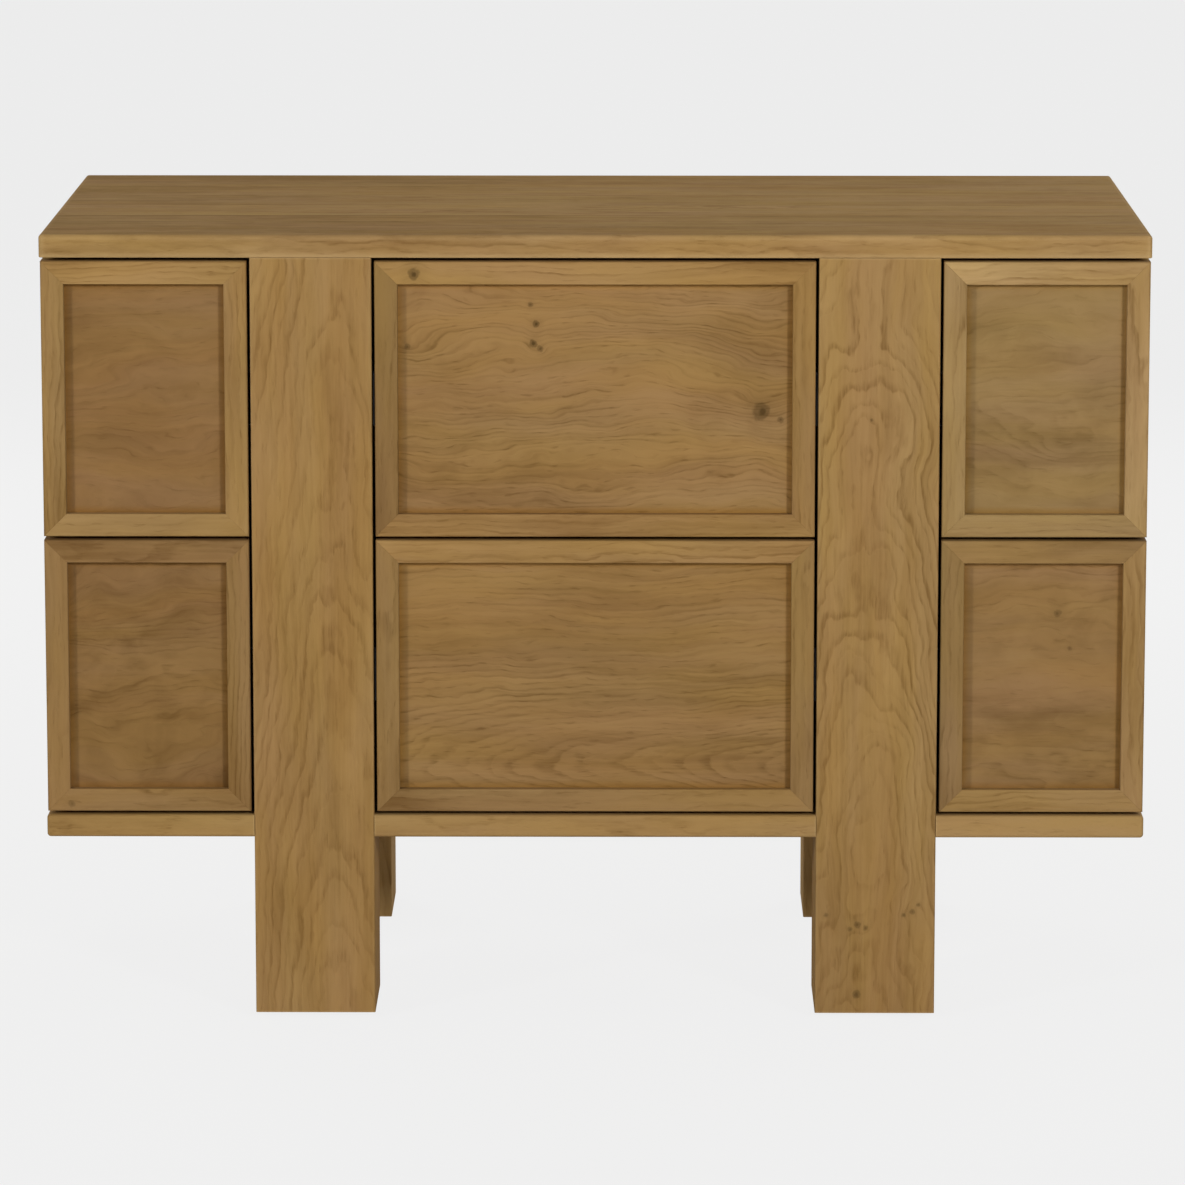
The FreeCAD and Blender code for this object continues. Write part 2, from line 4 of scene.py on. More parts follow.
import bmesh
import bpy
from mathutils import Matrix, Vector


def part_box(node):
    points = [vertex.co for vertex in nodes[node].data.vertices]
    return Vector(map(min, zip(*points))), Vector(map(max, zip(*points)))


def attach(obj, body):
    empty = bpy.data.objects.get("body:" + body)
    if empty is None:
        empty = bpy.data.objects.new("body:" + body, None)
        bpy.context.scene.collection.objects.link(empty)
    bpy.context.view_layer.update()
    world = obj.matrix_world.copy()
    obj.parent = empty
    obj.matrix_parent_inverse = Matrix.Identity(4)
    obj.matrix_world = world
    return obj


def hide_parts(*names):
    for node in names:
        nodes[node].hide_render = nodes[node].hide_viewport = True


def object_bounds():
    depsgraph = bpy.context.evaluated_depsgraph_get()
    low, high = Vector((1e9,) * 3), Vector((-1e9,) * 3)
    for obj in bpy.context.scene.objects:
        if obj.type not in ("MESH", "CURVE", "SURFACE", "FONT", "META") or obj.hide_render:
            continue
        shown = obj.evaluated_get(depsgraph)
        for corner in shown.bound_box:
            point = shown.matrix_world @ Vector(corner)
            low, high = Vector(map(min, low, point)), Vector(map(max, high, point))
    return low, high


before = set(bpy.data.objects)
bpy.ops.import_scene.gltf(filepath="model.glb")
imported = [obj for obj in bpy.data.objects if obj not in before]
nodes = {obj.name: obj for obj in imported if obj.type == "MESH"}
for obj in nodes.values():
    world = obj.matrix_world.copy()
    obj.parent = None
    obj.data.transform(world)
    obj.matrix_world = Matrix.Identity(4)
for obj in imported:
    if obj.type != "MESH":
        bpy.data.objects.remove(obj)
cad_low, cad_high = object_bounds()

stage = bpy.context.scene

# Camera
# A long lens on a tripod, 0.6 m higher than the top, square to the front of the piece and tilted down to it.
# Its place and tilt come from a fit to edges of the piece in the photograph.
lens_length = 189.16
lens_place = (0.0305, -5.3063, 1.2575)
lens_dip = math.radians(9.996)
lens_turn = math.radians(0.368)
lens = bpy.data.cameras.new("camera")
lens.sensor_width = 36.0
lens.lens = lens_length
camera = bpy.data.objects.new("camera", lens)
camera.location = lens_place
camera.rotation_euler = (math.pi / 2 - lens_dip, 0.0, lens_turn)
stage.collection.objects.link(camera)
stage.camera = camera
stage.view_settings.view_transform = "Standard"


# Floor and studio light
# A pale painted floor without a seam, two softboxes in front and a weak one low down, others behind and over
# the piece, and dim room light. The floor looks pale to the camera and to gloss, and keeps the shadow.
def put(tree, kind, feeds=None, **options):
    """Adds one node: options are its settings, feeds its inputs, each a value or another node's output."""
    node = tree.nodes.new("ShaderNode" + kind)
    for option, value in options.items():
        setattr(node, option, value)
    for socket, value in (feeds or {}).items():
        if isinstance(value, bpy.types.NodeSocket):
            tree.links.new(value, node.inputs[socket])
        else:
            node.inputs[socket].default_value = value
    return node


def calc(tree, operation, *terms):
    """One sum on values, such as DIVIDE or MAXIMUM."""
    return put(tree, "Math", dict(enumerate(terms)), operation=operation).outputs[0]


def times(tree, first, second):
    return calc(tree, "MULTIPLY", first, second)


def mixed(tree, share, first, second, way="MIX"):
    """Two colours, mixed by share."""
    return put(tree, "Mix", {0: share, 6: first, 7: second}, data_type="RGBA", blend_type=way).outputs[2]


def seen_directly(tree):
    """1 for rays from the camera, from gloss and through glass, 0 for light that bounces."""
    path = put(tree, "LightPath").outputs
    gloss = calc(tree, "MAXIMUM", path["Is Glossy Ray"], path["Is Transmission Ray"])
    return calc(tree, "MAXIMUM", path["Is Camera Ray"], gloss)


pale = (0.855, 0.855, 0.855, 1.0)
floor_glow_colour = (0.888, 0.888, 0.888, 1.0)
floor_paint_colour = (0.85, 0.85, 0.85, 1.0)
floor_reach = 30.0
floor_glow = 0.94
room_light = (0.08, 0.08, 0.08, 1.0)

floor_mesh = bpy.data.meshes.new("floor")
floor_corners = [(x * floor_reach, y * floor_reach, 0.0) for x, y in ((-1, -1), (1, -1), (1, 1), (-1, 1))]
floor_mesh.from_pydata(floor_corners, [], [(0, 1, 2, 3)])
floor = bpy.data.objects.new("floor", floor_mesh)
stage.collection.objects.link(floor)

floor_paint = bpy.data.materials.new("floor_paint")
floor_paint.use_nodes = True
tree = floor_paint.node_tree
tree.nodes.clear()
paint = put(tree, "BsdfDiffuse", {"Color": floor_paint_colour})
glow = put(tree, "Emission", {"Color": floor_glow_colour, "Strength": 1.0})
share = times(tree, seen_directly(tree), floor_glow)
both = put(tree, "MixShader", {0: share, 1: paint.outputs[0], 2: glow.outputs[0]})
put(tree, "OutputMaterial", {"Surface": both.outputs[0]})
floor_mesh.materials.append(floor_paint)

room = bpy.data.worlds.new("room")
room.use_nodes = True
tree = room.node_tree
tree.nodes.clear()
air = put(tree, "Background", {"Color": mixed(tree, seen_directly(tree), room_light, pale), "Strength": 1.0})
put(tree, "OutputWorld", {"Surface": air.outputs[0]})
stage.world = room

light_aim = Vector((0.0, -0.2, 0.35))


def softbox(name, bearing, rise, distance, width, height, power):
    """A rectangular lamp on a stand, turned to the middle of the piece. Bearing and rise are in degrees. A
    bearing of 0 is in front, and positive is to the right."""
    bearing = math.radians(bearing)
    rise = math.radians(rise)
    level = distance * math.cos(rise)
    reach = Vector((level * math.sin(bearing), -level * math.cos(bearing), distance * math.sin(rise)))
    lamp = bpy.data.lights.new(name, "AREA")
    lamp.shape = "RECTANGLE"
    lamp.size = width
    lamp.size_y = height
    lamp.energy = power
    stand = bpy.data.objects.new(name, lamp)
    stand.location = light_aim + reach
    stand.rotation_euler = (-reach).to_track_quat("-Z", "Y").to_euler()
    stand.visible_camera = False
    stage.collection.objects.link(stand)


softbox("softbox_right", bearing=31, rise=19, distance=6.0, width=0.75, height=1.0, power=163.0)
softbox("softbox_left", bearing=-45, rise=18, distance=6.0, width=0.75, height=1.0, power=133.0)
softbox("softbox_low", bearing=0, rise=1, distance=3.4, width=1.3, height=0.5, power=9.0)
softbox("softbox_back_right", bearing=142, rise=16, distance=3.4, width=1.4, height=1.4, power=42.0)
softbox("softbox_back_left", bearing=-142, rise=16, distance=3.4, width=1.4, height=1.4, power=42.0)
softbox("softbox_over", bearing=180, rise=86, distance=2.8, width=2.2, height=2.2, power=11.0)


# Feet
# Dark nylon glides on a pin, pressed into hardwood blocks that close the lower end of each hollow post.
# The blocks are plain offcuts, glued in.
def plus(tree, first, second):
    return calc(tree, "ADD", first, second)


def plus_share(tree, total, value, share):
    """Total, and share times value added to it."""
    return calc(tree, "MULTIPLY_ADD", value, share, total)


def vector_calc(tree, operation, *terms):
    """One sum on places or directions. A length or a dot product comes out as one number."""
    sums = put(tree, "VectorMath", dict(enumerate(terms)), operation=operation).outputs
    return sums["Value" if operation in ("LENGTH", "DOT_PRODUCT") else "Vector"]


def scaled(tree, vector, share):
    return put(tree, "VectorMath", {0: vector, 3: share}, operation="SCALE").outputs[0]


def noise(tree, vector, waves, seed, detail=2.0, distortion=0.0):
    """Smooth noise from 0 to 1, with so many waves in a metre along each axis."""
    place = vector_calc(tree, "MULTIPLY", vector, waves)
    feeds = {"Vector": place, "W": seed, "Scale": 1.0, "Detail": detail, "Distortion": distortion}
    return put(tree, "TexNoise", feeds, noise_dimensions="4D").outputs["Fac"]


def swing(tree, *place, **kind):
    """Smooth noise from -0.5 to 0.5."""
    return calc(tree, "SUBTRACT", noise(tree, *place, **kind), 0.5)


def ease(tree, value, low, high, start=0.0, end=1.0):
    """Runs smoothly from start to end as value goes from low to high."""
    feeds = {"Value": value, "From Min": low, "From Max": high, "To Min": start, "To Max": end}
    return put(tree, "MapRange", feeds, interpolation_type="SMOOTHSTEP").outputs["Result"]


def shader_group(name, takes, gives):
    """A shader node group. Takes maps each input to its value: one number, three for a place, four for a
    colour. Gives maps each output to its type."""
    tree = bpy.data.node_groups.new(name, "ShaderNodeTree")
    kinds = {3: "Vector", 4: "Color"}
    for socket, value in takes.items():
        kind = kinds[len(value)] if isinstance(value, tuple) else "Float"
        made = tree.interface.new_socket(name=socket, in_out="INPUT", socket_type="NodeSocket" + kind)
        made.default_value = value
    for socket, kind in gives.items():
        tree.interface.new_socket(name=socket, in_out="OUTPUT", socket_type="NodeSocket" + kind)
    return tree, tree.nodes.new("NodeGroupInput").outputs, tree.nodes.new("NodeGroupOutput").inputs


def give(tree, made, **values):
    """Joins values to the outputs of a group."""
    for socket, value in values.items():
        tree.links.new(value, made[socket])


def blank_material(name):
    """A new material with an empty node tree."""
    made = bpy.data.materials.new(name)
    made.use_nodes = True
    made.node_tree.nodes.clear()
    return made, made.node_tree


relief_strength = 0.5
relief_depth = 0.0004


def finish_material(tree, look, **fixed):
    """Joins a look's colour, roughness and height to a Principled surface and its bump."""
    relief = {"Height": look["Height"], "Strength": relief_strength, "Distance": relief_depth}
    bump = put(tree, "Bump", relief).outputs[0]
    feeds = {"Base Color": look["Colour"], "Roughness": look["Roughness"], "Normal": bump}
    surface = put(tree, "BsdfPrincipled", {**feeds, **fixed})
    put(tree, "OutputMaterial", {"Surface": surface.outputs[0]})


def dress(node, material):
    """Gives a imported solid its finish."""
    held = nodes[node].data.materials
    held.clear()
    held.append(material)


look_outputs = {"Colour": "Color", "Roughness": "Float", "Height": "Float"}
plastic_grit = (2400, 2400, 2400)
plastic_flow = (60, 60, 60)
plastic_scuffs = (140, 900, 140)
scuff_colour = (0.5, 0.48, 0.45, 1)
scuff_span = (0.58, 0.72)
scuff_share = 0.25
flow_shades = (0.3, 0.7, 0.88, 1.08)
flow_roughness = 0.1
moulded, given, made = shader_group(
    "moulded_plastic", {"Place": (0, 0, 0), "Colour": (0.1, 0.1, 0.1, 1), "Gloss": 0.4}, look_outputs
)
grit = noise(moulded, given["Place"], plastic_grit, 0.0)
flow = noise(moulded, given["Place"], plastic_flow, 1.0, detail=3.0)
scuff = ease(moulded, noise(moulded, given["Place"], plastic_scuffs, 2.0, detail=3.0), *scuff_span)
scuff = times(moulded, scuff, scuff_share)
worn = mixed(moulded, scuff, given["Colour"], scuff_colour)
tinted = scaled(moulded, worn, ease(moulded, flow, *flow_shades))
dull = plus_share(moulded, plus(moulded, given["Gloss"], scuff), flow, flow_roughness)
give(moulded, made, Colour=tinted, Roughness=dull, Height=grit)


def plastic_material(name, colour, gloss):
    """Injection-moulded plastic with a fine matt texture and a few scuffs."""
    material, tree = blank_material(name)
    place = put(tree, "TexCoord").outputs["Object"]
    look = put(tree, "Group", {"Place": place, "Colour": colour, "Gloss": gloss}, node_tree=moulded).outputs
    finish_material(tree, look)
    return material


dress("foot_glides", plastic_material("dark_nylon", (0.033, 0.024, 0.017, 1), 0.42))

# The grain of a board: yearly rings round a heart line, with a dark porous line where each ring begins, cut
# by the board's faces into arches or stripes. Grain runs along X, and the heart lies at Y and Z of 0.
oak_light = (0.380, 0.243, 0.096, 1)
oak_dark = (0.198, 0.111, 0.036, 1)
blush_tint = (1.0, 0.955, 0.975, 1)
honey_tint = (1.0, 0.985, 0.83, 1)
# Tint of the painted shade in the recess round each panel.
recess_shade_tint = (1.0, 0.90, 0.66, 1)
end_grain_tint = (0.70, 0.65, 0.60, 1)
knot_brown = (0.074, 0.041, 0.013, 1)
# Colour of worn edges, also a painted highlight on rounded corners.
worn_and_highlit_oak = (0.62, 0.44, 0.22, 1)
wander_waves = (5, 13, 13)
ripple_waves = (18, 38, 38)
ragged_waves = (50, 120, 120)
speck_waves = (34, 600, 600)
pore_waves = (85, 640, 640)
streak_waves = (15, 360, 360)
stripe_waves = (6, 70, 70)
cloud_waves = (4, 13, 13)
curl_waves = (17, 34, 34)
plain_waves = (5, 17, 17)
blush_waves = (4, 26, 26)
honey_waves = (6, 34, 34)
pore_line_crest = 0.14
pore_line_end = 0.6
pore_span = (0.55, 0.72)
speck_shades = (0.38, 0.62, 0.62, 1.25)
plain_shades = (0.36, 0.64, 0.3, 1.25)
patch_span = (0.3, 0.7)
depth_span = (-0.25, 1.25)
plain_depth = 0.25
growth_share = 0.12
faint_share = 0.4
knot_share = 0.95
wear_and_highlight_share = 0.5
ragged_share = 0.55
heart_room = 0.002
board_roughness = 0.80
line_roughness = 0.05
pore_roughness = 0.12
line_relief = 0.35
wood_grain, given, made = shader_group(
    "wood_grain",
    {
        "Grain": (0, 0, 0),
        "Seed": 0.0,
        "Ring": 0.0045,
        "Slope": 0.05,
        "Spread": 0.2,
        "Wander": 0.012,
        "Ripple": 0.004,
        "Lift": 0.0,
        "Figure": 0.35,
        "Pores": 0.25,
        "Streak": 0.55,
        "Cloud": 0.8,
        "Curl": 0.2,
        "Tone": 0.0,
        "Drift": 0.0,
        "Knot": 0.0,
        "Wear": 0.0,
        "Rub": 0.5,
        "Gathered": 0.0,
        "End": 0.0,
        "Light": oak_light,
        "Dark": oak_dark,
    },
    look_outputs,
)
grain = given["Grain"]
seed = given["Seed"]
along, across, deep = put(wood_grain, "SeparateXYZ", {0: grain}).outputs
radius = vector_calc(wood_grain, "LENGTH", put(wood_grain, "CombineXYZ", {1: across, 2: deep}).outputs[0])
offset = calc(wood_grain, "DIVIDE", across, given["Spread"])
near = calc(wood_grain, "DIVIDE", 1.0, plus_share(wood_grain, 1.0, offset, offset))
lean = times(wood_grain, times(wood_grain, given["Slope"], along), near)
ragged = times(wood_grain, given["Ring"], ragged_share)
sway = given["Lift"]
sways = ((wander_waves, given["Wander"]), (ripple_waves, given["Ripple"]), (ragged_waves, ragged))
for waves, reach in sways:
    sway = plus_share(wood_grain, sway, times(wood_grain, swing(wood_grain, grain, waves, seed), 2.0), reach)
field = plus(wood_grain, plus(wood_grain, radius, lean), sway)
count = calc(wood_grain, "DIVIDE", field, given["Ring"])
phase = calc(wood_grain, "FRACT", count)
year = plus(wood_grain, calc(wood_grain, "FLOOR", count), seed)
growth = put(wood_grain, "TexWhiteNoise", {"W": year}, noise_dimensions="1D").outputs["Value"]
early = ease(wood_grain, phase, 0.0, pore_line_crest)
early = times(wood_grain, early, ease(wood_grain, phase, pore_line_crest, pore_line_end, 1, 0))

# Pores, fine streaks and broad stripes follow the same sway as the rings.
side = calc(wood_grain, "DIVIDE", across, plus(wood_grain, radius, heart_room))
bent = plus_share(wood_grain, across, side, sway)
fibre = put(wood_grain, "CombineXYZ", {0: along, 1: bent, 2: deep}).outputs[0]
speck = noise(wood_grain, fibre, speck_waves, seed, detail=1.0)
pores = noise(wood_grain, fibre, pore_waves, plus(wood_grain, seed, 3.0), detail=1.0)
pores = ease(wood_grain, pores, *pore_span)
pores = times(wood_grain, pores, plus_share(wood_grain, faint_share, early, 1 - faint_share))
streak = swing(wood_grain, fibre, streak_waves, seed, detail=3.0)
stripe = swing(wood_grain, fibre, stripe_waves, seed, detail=3.0)
cloud = swing(wood_grain, grain, cloud_waves, seed, detail=3.0, distortion=0.5)
curl = swing(wood_grain, fibre, curl_waves, seed, detail=4.0, distortion=1.4)
line = times(wood_grain, early, plus_share(wood_grain, faint_share, growth, 1 - faint_share))
line = times(wood_grain, line, ease(wood_grain, speck, *speck_shades))
plain = noise(wood_grain, grain, plain_waves, plus(wood_grain, seed, 9.0))
line = times(wood_grain, line, ease(wood_grain, plain, *plain_shades))
depth = plus_share(wood_grain, plain_depth, line, given["Figure"])
depth = plus_share(wood_grain, depth, calc(wood_grain, "SUBTRACT", growth, 0.5), growth_share)
depth = plus_share(wood_grain, depth, pores, given["Pores"])
depth = plus_share(wood_grain, depth, streak, given["Streak"])
depth = plus_share(wood_grain, depth, stripe, given["Streak"])
depth = plus_share(wood_grain, depth, cloud, given["Cloud"])
depth = plus_share(wood_grain, depth, curl, given["Curl"])
depth = plus(wood_grain, depth, given["Tone"])
depth = plus_share(wood_grain, depth, along, given["Drift"])
colour = mixed(wood_grain, ease(wood_grain, depth, *depth_span), given["Light"], given["Dark"])
for waves, shift, tint in ((blush_waves, 5.0, blush_tint), (honey_waves, 7.0, honey_tint)):
    patch = ease(wood_grain, noise(wood_grain, fibre, waves, plus(wood_grain, seed, shift)), *patch_span)
    colour = mixed(wood_grain, patch, colour, tint, "MULTIPLY")
colour = mixed(wood_grain, times(wood_grain, given["Knot"], knot_share), colour, knot_brown)
# Painted shade in the recess round a panel.
colour = mixed(wood_grain, given["Gathered"], colour, recess_shade_tint, "MULTIPLY")
colour = mixed(wood_grain, given["End"], colour, end_grain_tint, "MULTIPLY")
# Paler corners: wear, and a painted highlight.
worn_and_highlit = mixed(wood_grain, wear_and_highlight_share, given["Light"], worn_and_highlit_oak)
colour = mixed(wood_grain, times(wood_grain, given["Wear"], given["Rub"]), colour, worn_and_highlit)
dull = plus_share(wood_grain, board_roughness, line, line_roughness)
dull = plus_share(wood_grain, dull, pores, pore_roughness)
dull = plus_share(wood_grain, dull, streak, pore_roughness)
hollow = plus_share(wood_grain, pores, line, line_relief)
give(wood_grain, made, Colour=colour, Roughness=dull, Height=calc(wood_grain, "SUBTRACT", 1.0, hollow))

# A knot: the rings swell round it and its heart is dark. With no heart it is only a swirl in the rings.
knot_seeds = (910, 530, 770)
knot_waves = (0.9, 0.9, 0.9)
knot_ragged = 1.3
knot_reach = 4.5
knot_swell = 0.6
knot_core = (0.15, 0.6, 0.34, 0.0)
knot_rim = (0.75, 1.15, 0.5, 0.0)
knot_halo = (0.8, 3.0, 0.13, 0.0)
knot_group, given, made = shader_group(
    "knot",
    {"Place": (0, 0, 0), "Centre": (0, 0, 0), "Radius": 0.006, "Heart": 1.0, "Lift": 0.0, "Dark": 0.0},
    {"Lift": "Float", "Dark": "Float"},
)
gap = vector_calc(knot_group, "SUBTRACT", given["Place"], given["Centre"])
gap = scaled(knot_group, gap, calc(knot_group, "DIVIDE", 1.0, given["Radius"]))
ratio = vector_calc(knot_group, "LENGTH", gap)
swell = times(knot_group, ease(knot_group, ratio, 0.0, knot_reach, 1.0, 0.0), given["Radius"])
swell = times(knot_group, swell, plus_share(knot_group, knot_swell, given["Heart"], knot_swell))
own = vector_calc(knot_group, "DOT_PRODUCT", given["Centre"], knot_seeds)
ragged = swing(knot_group, gap, knot_waves, own, detail=3.0)
ratio = plus_share(knot_group, ratio, ragged, knot_ragged)
heart = plus(knot_group, ease(knot_group, ratio, *knot_core), ease(knot_group, ratio, *knot_rim))
heart = plus(knot_group, heart, ease(knot_group, ratio, *knot_halo))
heart = calc(knot_group, "MAXIMUM", times(knot_group, heart, given["Heart"]), given["Dark"])
give(knot_group, made, Lift=plus(knot_group, swell, given["Lift"]), Dark=heart)

# Boards glued edge to edge: each stave has its own tone, its own heart and a fine dark joint.
most_joints = 5
no_joint = -9.0
joint_line = (0.0002, 0.0007, 1.0, 0.0)
joint_darkness = 0.6
stave_seed_step = 3.7
stave_heart_reach = 0.08
stave_tone_reach = 0.25
stave_group, given, made = shader_group(
    "glued_staves",
    {"Across": 0.0, "Seed": 0.0, **{f"Joint {joint}": no_joint for joint in range(1, most_joints + 1)}},
    {"Across": "Float", "Seed": "Float", "Tone": "Float"},
)
number = 0.0
line = 0.0
for joint in range(1, most_joints + 1):
    edge = given[f"Joint {joint}"]
    number = plus(stave_group, number, calc(stave_group, "GREATER_THAN", given["Across"], edge))
    apart = calc(stave_group, "ABSOLUTE", calc(stave_group, "SUBTRACT", given["Across"], edge))
    line = calc(stave_group, "MAXIMUM", line, ease(stave_group, apart, *joint_line))
own = plus(stave_group, times(stave_group, number, stave_seed_step), given["Seed"])
chance = put(stave_group, "TexWhiteNoise", {"W": own}, noise_dimensions="1D").outputs
apart = plus_share(stave_group, -stave_heart_reach, chance["Value"], 2 * stave_heart_reach)
spread = put(stave_group, "SeparateColor", {0: chance["Color"]}).outputs["Green"]
tone = plus_share(stave_group, -stave_tone_reach, spread, 2 * stave_tone_reach)
tone = plus_share(stave_group, tone, line, joint_darkness)
give(stave_group, made, Across=plus(stave_group, given["Across"], apart), Seed=own, Tone=tone)

# Edge wear and painted highlight: corners that hands and cloths reach are paler than the faces.
# The paler corners also stand in for light caught on the rounded edges.
corner_span = (0.80, 0.995, 1.0, 0.0)
wear_and_highlight_group, given, made = shader_group("edge_wear_and_highlight", {"Reach": 0.003}, {"Wear": "Float"})
rounded = put(wear_and_highlight_group, "Bevel", {"Radius": given["Reach"]}, samples=4).outputs[0]
facing = vector_calc(wear_and_highlight_group, "DOT_PRODUCT", rounded, put(wear_and_highlight_group, "NewGeometry").outputs["Normal"])
give(wear_and_highlight_group, made, Wear=ease(wear_and_highlight_group, facing, *corner_span))

# Painted shade darkens a panel where it meets its frame, within reach of the opening from Low to High.
recess_shade_group, given, made = shader_group(
    "painted_recess_shade",
    {"Place": (0, 0, 0), "Low": (0, 0, 0), "High": (1, 1, 1), "Reach": 0.007},
    {"Shade": "Float"},
)
over = vector_calc(recess_shade_group, "SUBTRACT", given["Place"], given["Low"])
under = vector_calc(recess_shade_group, "SUBTRACT", given["High"], given["Place"])
inside = vector_calc(recess_shade_group, "MINIMUM", over, under)
wide, _, tall = put(recess_shade_group, "SeparateXYZ", {0: inside}).outputs
close = calc(recess_shade_group, "MINIMUM", wide, tall)
give(recess_shade_group, made, Shade=ease(recess_shade_group, close, 0.0, given["Reach"], 1.0, 0.0))

satin = {"Specular IOR Level": 0.03}
end_span = (0.80, 0.95)


def toned(colour, red, green=None, blue=None):
    """A colour made lighter or darker: one share for all, or one each for red, green and blue."""
    shares = (red, red if green is None else green, red if blue is None else blue, 1)
    return tuple(part * share for part, share in zip(colour, shares))


def wood_material(
    name, run, heart, seed, light, dark, knots=(), joints=(), opening=None, worn_and_highlit=0.003, tone=0.0, **figure
):
    """A board's finish. Run names the frame axes along, across and through the board, such as ZXY for a post,
    and heart is where the heart of the tree lies across and through it, in metres. Worn_and_highlit is how
    far the paler edges reach from the corners, as wear and as a painted highlight. Figure holds other inputs
    of the wood grain group."""
    material, tree = blank_material(name)
    surface = put(tree, "TexCoord").outputs
    place = surface["Object"]
    axes = dict(zip("XYZ", put(tree, "SeparateXYZ", {0: place}).outputs))
    faces = dict(zip("XYZ", put(tree, "SeparateXYZ", {0: surface["Normal"]}).outputs))
    end = ease(tree, calc(tree, "ABSOLUTE", faces[run[0]]), *end_span)
    feeds = {"Light": light, "Dark": dark, "Seed": seed, "Tone": tone, "End": end}
    across = calc(tree, "SUBTRACT", axes[run[1]], heart[0])
    if joints:
        edges = {f"Joint {n}": value for n, value in enumerate(joints, 1)}
        edges.update({"Across": axes[run[1]], "Seed": seed})
        stave = put(tree, "Group", edges, node_tree=stave_group).outputs
        across = stave["Across"]
        feeds["Seed"] = stave["Seed"]
        feeds["Tone"] = plus(tree, stave["Tone"], tone)
    deep = calc(tree, "SUBTRACT", axes[run[2]], heart[1])
    feeds["Grain"] = put(tree, "CombineXYZ", {0: axes[run[0]], 1: across, 2: deep}).outputs[0]
    for centre, radius, dark_heart in knots:
        spot = {"Place": place, "Centre": centre, "Radius": radius, "Heart": dark_heart}
        for socket, key in (("Lift", "Lift"), ("Dark", "Knot")):
            if key in feeds:
                spot[socket] = feeds[key]
        found = put(tree, "Group", spot, node_tree=knot_group).outputs
        feeds["Lift"] = found["Lift"]
        feeds["Knot"] = found["Dark"]
    if opening:
        corners = {"Place": place, "Low": opening[0], "High": opening[1]}
        feeds["Gathered"] = put(tree, "Group", corners, node_tree=recess_shade_group).outputs["Shade"]
    if worn_and_highlit:
        feeds["Wear"] = put(tree, "Group", {"Reach": worn_and_highlit}, node_tree=wear_and_highlight_group).outputs["Wear"]
    look = put(tree, "Group", {**feeds, **figure}, node_tree=wood_grain).outputs
    finish_material(tree, look, **satin)
    return material


plain_light = (0.55, 0.40, 0.225, 1)
plain_dark = (0.33, 0.215, 0.105, 1)
block_finish = wood_material(
    "offcut_wood", "ZXY", heart=(0.1, 0.05), seed=2.0, light=plain_light, dark=plain_dark, worn_and_highlit=0.0
)
dress("post_end_blocks", block_finish)

# Posts
# Four hollow square posts of oak boards mitred along their length, from the glides to the underside of the
# top, flush with front and back. The front pair show arched grain, with small knots low on the right one.
face_y = cad_low.y
# Each knot's centre, its radius and how dark its heart is.
right_post_knots = (
    ((0.226, face_y, 0.566), 0.0140, 0.0),
    ((0.228, face_y, 0.507), 0.0014, 0.7),
    ((0.219, face_y, 0.081), 0.0030, 0.8),
    ((0.213, face_y, 0.077), 0.0022, 0.7),
    ((0.226, face_y, 0.078), 0.0022, 0.7),
    ((0.265, face_y, 0.092), 0.0024, 0.7),
    ((0.258, face_y, 0.089), 0.0018, 0.7),
    ((0.270, face_y, 0.098), 0.0018, 0.7),
    ((0.219, face_y, 0.021), 0.0038, 0.8),
    ((0.193, face_y, 0.089), 0.0020, 0.6),
)
post_knots = {"front_right_post": right_post_knots}
# The rear posts are painted paler and bluer: painted fill light on faces that lie in shade under the case.
rear_post_painted_light = (1.10, 1.14, 1.26)
post_tones = {"front_left_post": (0.955, 0.92, 0.90), "front_right_post": (0.985, 0.965, 0.96)}
plain_post_shade = {"tone": 0.0, "Drift": 0.0, "Ring": 0.006, "Cloud": 1.1}
# The right post's Drift paints a light gradient: lighter towards the top, darker towards the bottom.
post_shades = {"front_right_post": {"tone": 0.13, "Drift": -0.25, "Ring": 0.0055, "Cloud": 0.8}}
# Each post's heart, seed, slope, wander, ripple and figure.
post_cuts = {
    "front_left_post": ((-0.215, -0.195), 18.7, 0.12, 0.019, 0.0035, 0.34),
    "front_right_post": ((0.222, -0.185), 84.4, 0.16, 0.036, 0.008, 0.37),
    "rear_left_post": ((-0.240, 0.190), 7.9, 0.14, 0.022, 0.006, 0.32),
    "rear_right_post": ((0.250, 0.185), 9.4, -0.16, 0.022, 0.006, 0.32),
}
for post, (heart, seed, slope, wander, ripple, figure) in post_cuts.items():
    post_tone = post_tones.get(post, rear_post_painted_light)
    post_finish = wood_material(
        post + "_oak",
        "ZXY",
        heart=heart,
        seed=seed,
        light=toned(oak_light, *post_tone),
        dark=toned(oak_dark, *post_tone),
        knots=post_knots.get(post, ()),
        Slope=slope,
        Wander=wander,
        Ripple=ripple,
        Figure=figure,
        Streak=0.7,
        Curl=0.3,
        Pores=0.18,
        **post_shades.get(post, plain_post_shade),
    )
    dress(post, post_finish)

# Bottom board
# Oak staves glued edge to edge, with the grain along the length, notched round the posts. The sides and the
# bay walls stand on it and are dowelled to it.
bottom_joints = (-0.142, -0.051, 0.048, 0.139)
slab_light = toned(oak_light, 1.08, 1.08, 1.12)
slab_dark = toned(oak_dark, 1.08, 1.08, 1.12)
bottom_tone = 0.90
bottom_finish = wood_material(
    "bottom_oak",
    "XYZ",
    heart=(0.0, 0.11),
    seed=21.0,
    light=toned(slab_light, bottom_tone),
    dark=toned(slab_dark, bottom_tone),
    joints=bottom_joints,
    Drift=-0.5,
    Slope=0.02,
    Figure=0.26,
)
dress("bottom_slab", bottom_finish)

